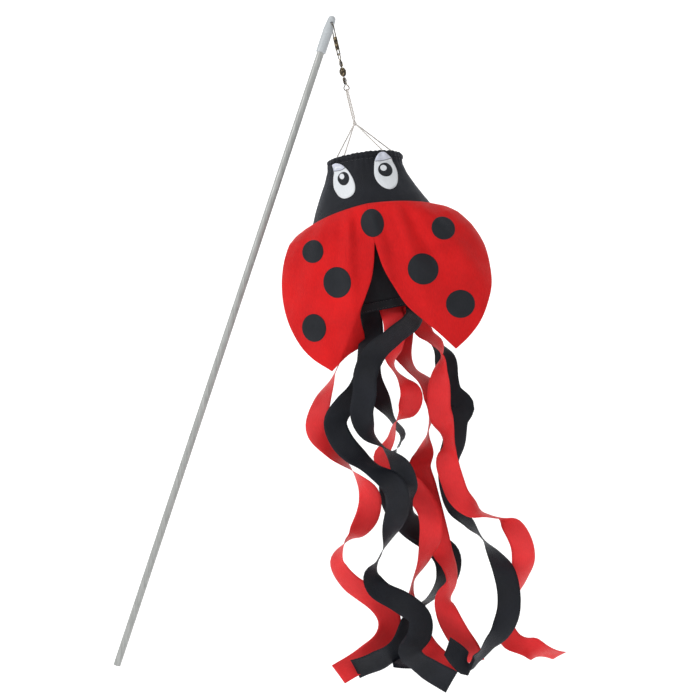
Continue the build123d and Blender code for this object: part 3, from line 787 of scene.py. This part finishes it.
def patch(name, outline, surface, outwards, material, replaced, blended=None, thickness=0.22,
          rings=8):
    """A cut-out that follows the cloth below it. The outline is seen from the front."""
    outline = np.array(outline, float)
    middle = outline.mean(axis=0)
    count = len(outline)
    places, seen = [], []

    def layer(u, v, depth):
        places.append(sock_point(*surface(u, v, depth)))
        seen.append((u * MM, v * MM))

    for depth in (outwards, outwards - thickness):
        layer(*middle, depth)
        for i in range(1, rings + 1):
            sunk = EDGE_SINK * smooth((i / rings - 0.9) / 0.1)
            for point in outline:
                layer(*(middle + (point - middle) * i / rings), depth - sunk)
    back = len(places) // 2
    faces = []
    for k in range(count):
        after = (k + 1) % count
        faces.append([0, 1 + k, 1 + after])
        faces.append([back, back + 1 + after, back + 1 + k])
        for i in range(rings - 1):
            a, b = 1 + i * count, 1 + (i + 1) * count
            faces.append([a + k, b + k, b + after, a + after])
            faces.append([back + a + after, back + b + after, back + b + k, back + a + k])
        rim = 1 + (rings - 1) * count
        faces.append([rim + k, back + rim + k, back + rim + after, rim + after])
    piece = mesh_piece(name, places, faces, [[seen[c] for c in face] for face in faces],
                       [False] * len(faces))
    finish_piece(piece, material)
    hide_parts(replaced)
    if blended:
        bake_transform(piece)
    else:
        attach(piece, "sock")


def lid_depth(side, u):
    """How far down an eye's lid line runs at u."""
    a, b, c, d = LIDS[side]
    share = (u - a) / (c - a)
    return b + (d - b) * share + LID_SAG * 4 * share * (1 - share)


def eye(side):
    """The white, the lid with its line, the pupil and the highlight of one eye."""
    outline = catmull(EYE_OUTLINES[side], 110, closed=True)[:-1]
    patch(f"eye_{side}_white", outline, head_front, 0.45, white_cloth,
          f"eye_white_{side}")
    upper = [p for p in outline if p[1] <= lid_depth(side, p[0])]
    gap = max(range(len(upper)), key=lambda k: hypot(*(upper[k] - upper[k - 1])))
    upper = [*upper[gap:], *upper[:gap]]
    first, last = upper[0], upper[-1]
    edge = [(u, lid_depth(side, u)) for u in np.linspace(last[0], first[0], 14)[1:-1]]
    patch(f"eye_{side}_lid", [*upper, *edge], head_front, 0.62, lilac_cloth,
          f"eyelid_{side}", thickness=0.15)
    line = [sock_point(*head_front(u, lid_depth(side, u), 0.7))
            for u in np.linspace(first[0], last[0], 30)]
    piece = tube(f"eye_{side}_lid_line", line, 0.36 * MM, 8)
    finish_piece(piece, grey_thread)
    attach(piece, "sock")
    patch(f"eye_{side}_pupil", ellipse(*PUPILS[side]), head_front, 0.75, spot_cloth,
          f"pupil_{side}")
    patch(f"eye_{side}_highlight", ellipse(*HIGHLIGHTS[side], 40), head_front, 0.98, white_cloth,
          f"highlight_{side}")


for side in ("left", "right"):
    eye(side)

# ---------------------------------------------------------------- wings
# depth, half width and half depth of the surface that the wings lie on
WING_RINGS = [
    (133, 64.4, 64.4), (144, 71.4, 71.0), (152, 84.4, 72.4), (161, 97.9, 72.9), (177, 109.9, 72.9),
    (201, 118.4, 70.9), (232, 123.4, 68.4), (318, 131.4, 63.4),
]
OUTER_EDGES = {
    "right": [(70.5, 150), (85.4, 154.6), (96.4, 164.4), (106.3, 178.5), (114, 195.2), (117, 215.5),
              (114.6, 243.5), (105, 265.7), (92, 284.7), (76, 298.7), (60, 308.6)],
    "left": [(-70.5, 147.5), (-82, 150), (-93.7, 158.9), (-102.7, 175), (-109.5, 193.4), (-113.4, 214.1),
             (-113.6, 235.6), (-110, 256), (-102.6, 276), (-92, 291.5), (-75.5, 307)],
}
MIDDLE = -4.7
NECK_MIDDLE = 138.8
SLIT_TOP = 181
SLITS = {
    "right": [(MIDDLE, SLIT_TOP), (-1, 209), (6.8, 231.5), (16.3, 253), (30.4, 271.4), (45, 289),
              (59.5, 308.4)],
    "left": [(MIDDLE, SLIT_TOP), (-9.5, 202), (-15.5, 219), (-24.5, 235), (-33.4, 250.5), (-34.6, 262),
             (-33.8, 276), (-37, 285.5), (-56, 294), (-75, 306.8)],
}
# the left wing's inner corner is folded back along this line, seen from the front
FOLD_FROM, FOLD_TO = Vector((-33, 246)), Vector((-70, 306))
FOLD_SLOPE = 0.75
NECK_ARCH = 2.0             # how far the neck's edge stands above a straight line
FAN_FOLDS = [(1.9, 14, 0.7), (1.6, 29, 1.1), (0.6, 53, 0)]      # size, count and start
DEEP_FOLDS = [(2.6, 26, 0.10, 7), (2.2, -27, -0.12, 6)]         # size, place, lean and width
YOKE_ROWS, LEAF_ROWS, WING_COLUMNS = 16, 84, 60
EDGE_PLACES, YOKE_END = 400, 64     # places along a wing's outer edge, and where the yoke's stop
SIDES = {"left": -1, "right": 1}


def wing_front(u, v, outwards):
    """The place on the wings that is seen at u and v: a broad curve with soft hanging folds."""
    width, across = between(WING_RINGS, v)
    share = min(abs(u) / width, 0.995)
    y = -across * sqrt(1 - share ** 2)
    low = smooth((v - NECK_MIDDLE - 0.2) / 22)
    fan = atan2(u + 4, v - 40)
    hanging = sum(size * sin(count * fan + start) for size, count, start in FAN_FOLDS)
    hanging += sum(size * exp(-((u - at - lean * (v - 140)) / width_of) ** 2)
                   for size, at, lean, width_of in DEEP_FOLDS)
    fold = hanging * low * (1 - 0.7 * smooth((v - 185) / 90))
    ripple = 1.3 * noise.noise(Vector((u * 0.05, v * 0.03, 2.0))) * low
    along = (FOLD_TO - FOLD_FROM).normalized()
    beyond = along.y * (u - FOLD_FROM.x) - along.x * (v - FOLD_FROM.y)
    tucked = 0.0
    if u < MIDDLE and v > FOLD_FROM.y - 12:
        tucked = FOLD_SLOPE * max(0, beyond) * smooth((v - FOLD_FROM.y + 12) / 16)
    out = 1.0 / max(sqrt(1 - share ** 2), 0.35)
    return u, y - fold + ripple + tucked - (outwards + 0.2) * out, v


def wing_blend(side):
    """The band below the yoke where a wing's cloth starts to follow its hinge."""
    slant = Vector((SIDES[side] * 0.307, 0.951))
    begin, finish = 176.0, 208.0
    start, end = slant * begin, slant * finish
    return ("sock", f"{side}_wing", sock_point(start.x, -60, start.y), sock_point(end.x, -60, end.y))


def wing(side):
    """One side's half of the yoke, and the wing that hangs from it, in one sheet."""
    outer = catmull(OUTER_EDGES[side], EDGE_PLACES)
    outer_rows = np.vstack([
        outer[np.linspace(0, YOKE_END, YOKE_ROWS).astype(int)][:-1],
        outer[np.linspace(YOKE_END, EDGE_PLACES - 1, LEAF_ROWS).astype(int)],
    ])
    yoke_inner = [(MIDDLE, NECK_MIDDLE + (SLIT_TOP - NECK_MIDDLE) * k / (YOKE_ROWS - 1))
                  for k in range(YOKE_ROWS - 1)]
    inner_rows = np.vstack([yoke_inner, catmull(SLITS[side], LEAF_ROWS)])
    points, uvs = [], []
    for inner, out in zip(inner_rows, outer_rows):
        shares = [k / (WING_COLUMNS - 1) for k in range(WING_COLUMNS)]
        top = max(0, 1 - (inner[1] - NECK_MIDDLE) / (SLIT_TOP - NECK_MIDDLE))
        line = []
        for share in shares:
            point = inner + (out - inner) * (1 - (1 - share) ** 1.25)
            point[1] -= NECK_ARCH * top * 4 * share * (1 - share)
            line.append(point)
        points.append([sock_point(*wing_front(u, v, 0)) for u, v in line])
        uvs.append([(u * MM, v * MM) for u, v in line])
    if SIDES[side] < 0:
        points = [line[::-1] for line in points]
        uvs = [line[::-1] for line in uvs]
    piece = cloth_piece(f"wing_{side}_cloth", points, CLOTH * MM, uvs)
    finish_piece(piece, red_cloth)
    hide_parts(f"wing_{side}")
    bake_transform(piece)
    return piece


# middle and half sizes
SPOTS = {
    "collar_spot": (-3.1, 160.7, 12.3, 15.3),
    "left_spot_upper": (-71.2, 176.8, 11.6, 12.6),
    "left_spot_middle": (-51.8, 214.9, 14.8, 16.5),
    "left_spot_lower": (-85.6, 257.4, 13.1, 15.1),
    "right_spot_upper": (71.4, 178.8, 13.2, 12.9),
    "right_spot_middle": (41.1, 218.4, 16.8, 16.8),
    "right_spot_lower": (74.1, 262.2, 16.1, 15.1),
}
wings = {side: wing(side) for side in SIDES}
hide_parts("collar")
for name, place in SPOTS.items():
    side = name.split("_")[0]
    blended = wing_blend(side) if side in SIDES else None
    patch(f"{name}_patch", ellipse(*place), wing_front, 0.42, spot_cloth, name,
          blended=blended, rings=12)

# ---------------------------------------------------------------- streamers
RIBBON_WIDTH = 25.4
RIBBON_CLOTH = 0.25
RIBBON_COLUMNS = 9
# Each row is a place on the ribbon's middle line and the turn of its width about the plumb line.
STREAMERS = {
    "red_streamer_1": [
        (266, -14, 399, 108), (262, -14, 371, 102), (250, -16, 342, 95), (240, -20, 319, 98),
        (229, -30, 294, 140), (224, -36, 265, 172), (242, -42, 239, 225), (263, -42, 219, 272),
        (280, -42, 195, 335), (279, -40, 172, 358), (267, -38, 152, 395), (256, -36, 142, 440),
        (246, -34, 119, 488), (261, -34, 96, 520), (289, -34, 78, 538), (302, -36, 59, 548),
        (299, -40, 39, 555), (279, -44, 19, 548), (247, -58, 2, 540),
    ],
    "black_streamer_1": [
        (277.5, -34, 398, -40), (283, -39, 379, -24), (281, -55, 353, 0), (278, -62, 328, 10),
        (269, -66, 307, 20), (254, -68, 291, 25), (244, -68, 273, 12), (251, -70, 253, 0),
        (267, -79, 236, 10), (286, -91, 222, 28), (305, -90, 207, 18), (310, -80, 186, 0),
        (306, -68, 165, 25), (300, -58, 144, 70), (291, -54, 126, 85), (283, -56, 109, 50),
        (291, -60, 93, 12), (314, -66, 81, 0), (333, -72, 67, 8), (333, -84, 50, 0),
        (322, -98, 34, -15), (340, -96, 17, -10), (366, -96, 2, 0),
    ],
    "red_streamer_2": [
        (303.5, -40, 398, 0), (308.5, -52, 375, 5), (306, -48, 353, 30), (306, -42, 333, 78),
        (316, -40, 317, 60), (326, -38, 301, 10), (322, -36, 285, 25), (310, -34, 271, 88),
        (304, -30, 252, 110), (295, -28, 233, 140), (308, -26, 215, 168), (330, -26, 197, 178),
        (345, -30, 176, 184), (348, -32, 150, 190), (341, -28, 123, 228), (329, -26, 97, 262),
        (326, -14, 76, 245), (332, -12, 51, 205), (340, -27, 32, 190), (357, -46, 14, 180),
        (372, -57, 2, 180),
    ],
    "black_streamer_2": [
        (331, -33, 398, 50), (325.5, -51, 381, 50), (306, -68, 364, 42), (286, -76, 346, 20),
        (276, -82, 325, 0), (275, -86, 304, 0), (272, -86, 282, 12), (279, -84, 262, 48),
        (294, -80, 248, 88), (311, -76, 230, 148), (319, -70, 206, 175), (315, -43, 186, 185),
        (321, -10, 163, 205), (347, 6, 142, 215), (371, 12, 123, 205), (373, 10, 101, 220),
        (363, 0, 84, 250), (344, -24, 74, 272), (326, -50, 59, 232), (314, -64, 35, 205),
        (291, -64, 19, 188), (265, -60, 8, 180),
    ],
    "red_streamer_3": [
        (345, -12, 399, 75), (337, -20, 384, 32), (341, -26, 370, 28), (354, -31, 359, 50),
        (360, -34, 343, 92),
        (357, -36, 324, 130), (356, -40, 305, 170), (357, -42, 283, 178), (365, -42, 261, 125),
        (367, -42, 244, 122), (365, -42, 229, 162), (370, -44, 210, 180), (378, -46, 191, 194),
        (395, -46, 176, 214), (413, -46, 170, 272), (431, -44, 164, 330), (445, -36, 143, 350),
        (450, -22, 121, 362), (447, -10, 95, 402), (439, 0, 71, 425), (433, 6, 47, 398),
        (440, 4, 27, 375), (467, 0, 17, 362), (495, 12, 8, 360),
    ],
    "black_streamer_3": [
        (343, 17, 401, 112), (345, 12, 385, 100), (350, 4, 366, 78), (361, -5, 351, 45),
        (366, -8, 337, 8), (367, -12, 319, 0), (371, -15, 303, 0), (384, -18, 289, 0),
        (377, -20, 274, 0), (374, -20, 250, 6), (368, -18, 228, 20), (370, -16, 200, 22),
        (377, -16, 176, 32),
        (392, -18, 159, 58), (405, -20, 144, 88), (416, -26, 129, 50), (427, -34, 110, 15),
        (432, -38, 88, 0), (431, -42, 66, 0), (423, -46, 48, 25), (410, -53, 35, 46),
        (398, -61, 22, 58), (385, -69, 15, 40), (374, -75, 25, 34), (362, -80, 37, 48),
    ],
    "red_streamer_4": [
        (318, 40, 402, 160), (319, 34, 374, 178), (318, 24, 349, 205), (328, 16, 330, 235),
        (345, 10, 315, 225), (354, 6, 296, 200), (350, 2, 275, 255), (346, 0, 255, 275),
        (343, -2, 237, 315), (337, -6, 221, 345), (343, -8, 199, 358), (349, -10, 176, 362),
        (355, -12, 152, 366), (361, -14, 130, 378), (369, -18, 112, 408), (370, -26, 95, 422),
        (362, -35, 79, 398), (366, -41, 62, 372), (376, -43, 43, 360), (388, -41, 25, 355),
        (394, -37, 11, 350),
    ],
    "black_streamer_4": [
        (283, 38, 402, 208), (285, 34, 374, 190), (282, 28, 347, 182), (283, 22, 320, 184),
        (293, 14, 297, 198), (306, 8, 275, 250), (317, 4, 259, 250), (314, 0, 244, 272),
        (305, -2, 228, 218), (304, -6, 204, 188), (308, -6, 180, 182), (324, 6, 156, 200),
        (348, 24, 136, 215), (366, 32, 116, 200), (365, 30, 93, 222), (348, 20, 71, 252),
        (331, 4, 52, 228), (319, -16, 31, 198), (318, -40, 18, 180), (318, -80, 14, 180),
    ],
}


def ribbon(name, rows):
    """A ribbon through its rows, cupped a little, with slight ripples and a plain cut end."""
    path = catmull(rows, 150)
    places = path[:, :3]
    ways = np.gradient(places, axis=0)
    ways /= np.linalg.norm(ways, axis=1, keepdims=True)
    points, uvs = [], []
    gone = 0.0
    before = None
    seed = sum(map(ord, name)) % 97
    for place, way, turn in zip(places, ways, path[:, 3]):
        level = np.array([cos(radians(turn)), sin(radians(turn)), 0])
        across = level - way * level.dot(way)
        across /= np.linalg.norm(across)
        face = np.cross(way, across)
        if before is not None:
            gone += np.linalg.norm(place - before)
        before = place
        line = []
        for k in range(RIBBON_COLUMNS):
            share = k / (RIBBON_COLUMNS - 1) * 2 - 1
            cup = 1.1 * (1 - share ** 2) * sin(gone / 31 + seed)
            ripple = 0.5 * share * sin(gone / 9 + seed)
            offset = share * RIBBON_WIDTH / 2
            line.append(Vector(place + across * offset + face * (cup + ripple)) * MM)
        points.append(line)
        uvs.append([(k / (RIBBON_COLUMNS - 1) * RIBBON_WIDTH * MM, gone * MM)
                    for k in range(RIBBON_COLUMNS)])
    piece = cloth_piece(f"{name}_ribbon", points, RIBBON_CLOTH * MM, uvs)
    if name.startswith("red"):
        finish_piece(piece, red_ribbon)
    else:
        finish_piece(piece, black_ribbon)
    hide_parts(name)
    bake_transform(piece)


for name, rows in STREAMERS.items():
    ribbon(name, rows)
